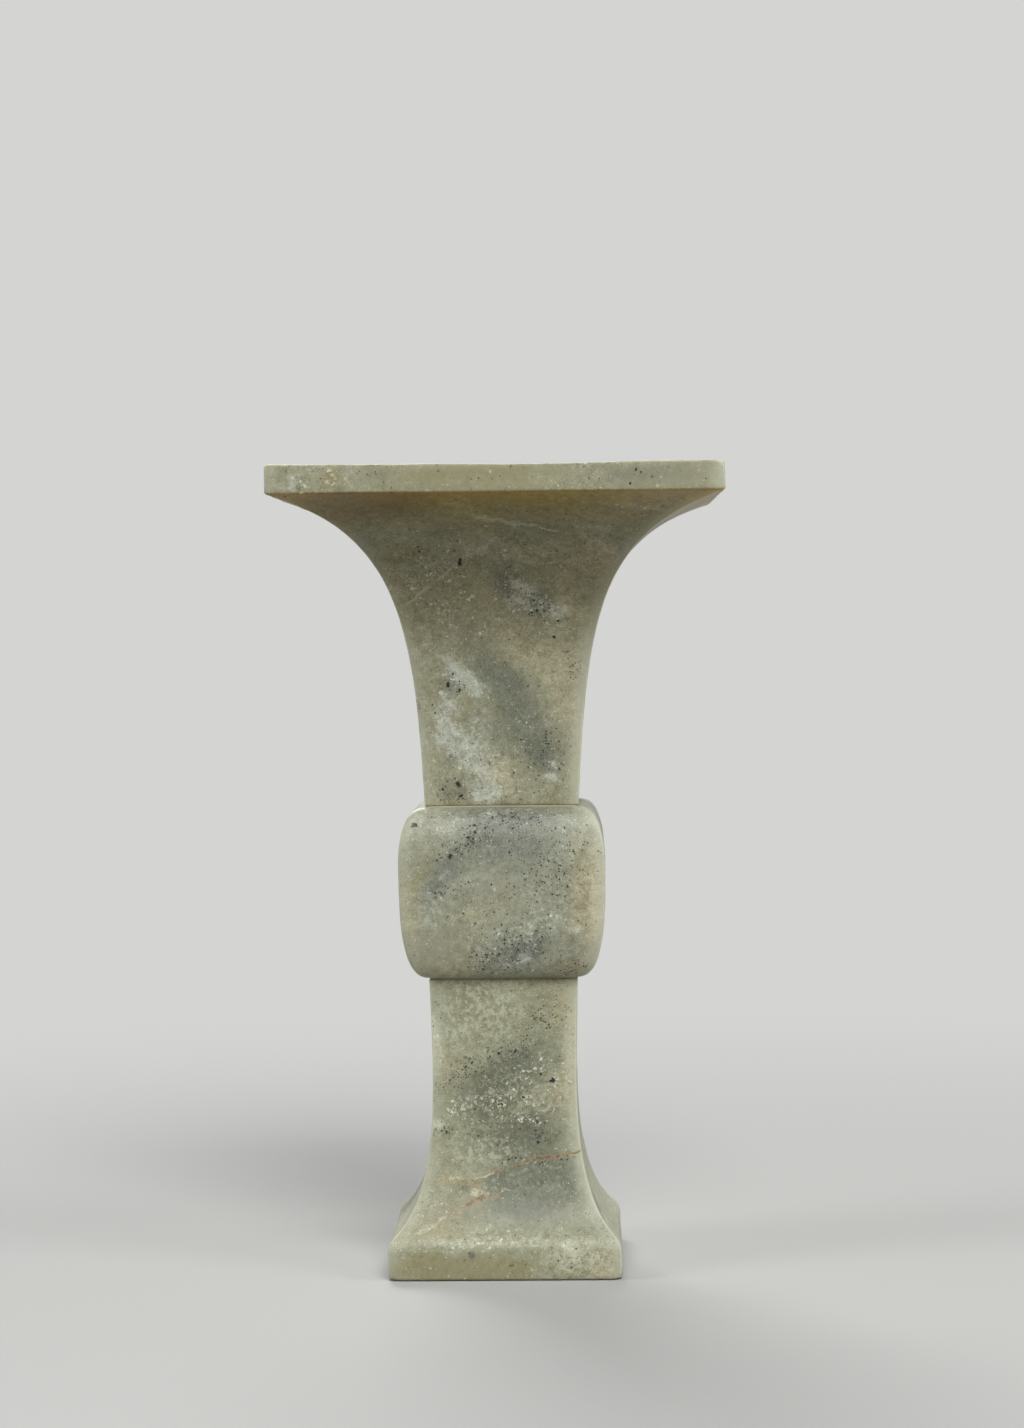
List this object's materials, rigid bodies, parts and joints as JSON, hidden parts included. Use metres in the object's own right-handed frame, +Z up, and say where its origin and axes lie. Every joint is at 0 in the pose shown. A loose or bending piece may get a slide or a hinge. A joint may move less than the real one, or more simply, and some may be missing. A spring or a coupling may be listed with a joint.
{
  "type": "stone beaker vase",
  "caption": "Square beaker vase of mottled jade with a wide flared mouth, a bulging knop and a spreading foot, cut as jointed stones. Stands on its foot and holds stems.",
  "frame": {"origin": "middle of the flat face that the foot stands on", "axes": "+Z up through the mouth, +X to the right and -Y towards the viewer of the front face"},
  "size_m": [0.1312, 0.1312, 0.24],
  "materials": {
    "jade": "soft polish, mottled grey-green with white clouds, dark specks and brown veins",
    "cement": "matt brown jointing cement"
  },
  "bodies": {
    "root": {"foot": "jade", "lower_cement_bed": "cement", "knop": "jade", "upper_cement_bed": "cement", "neck": "jade"}
  },
  "joints": []
}
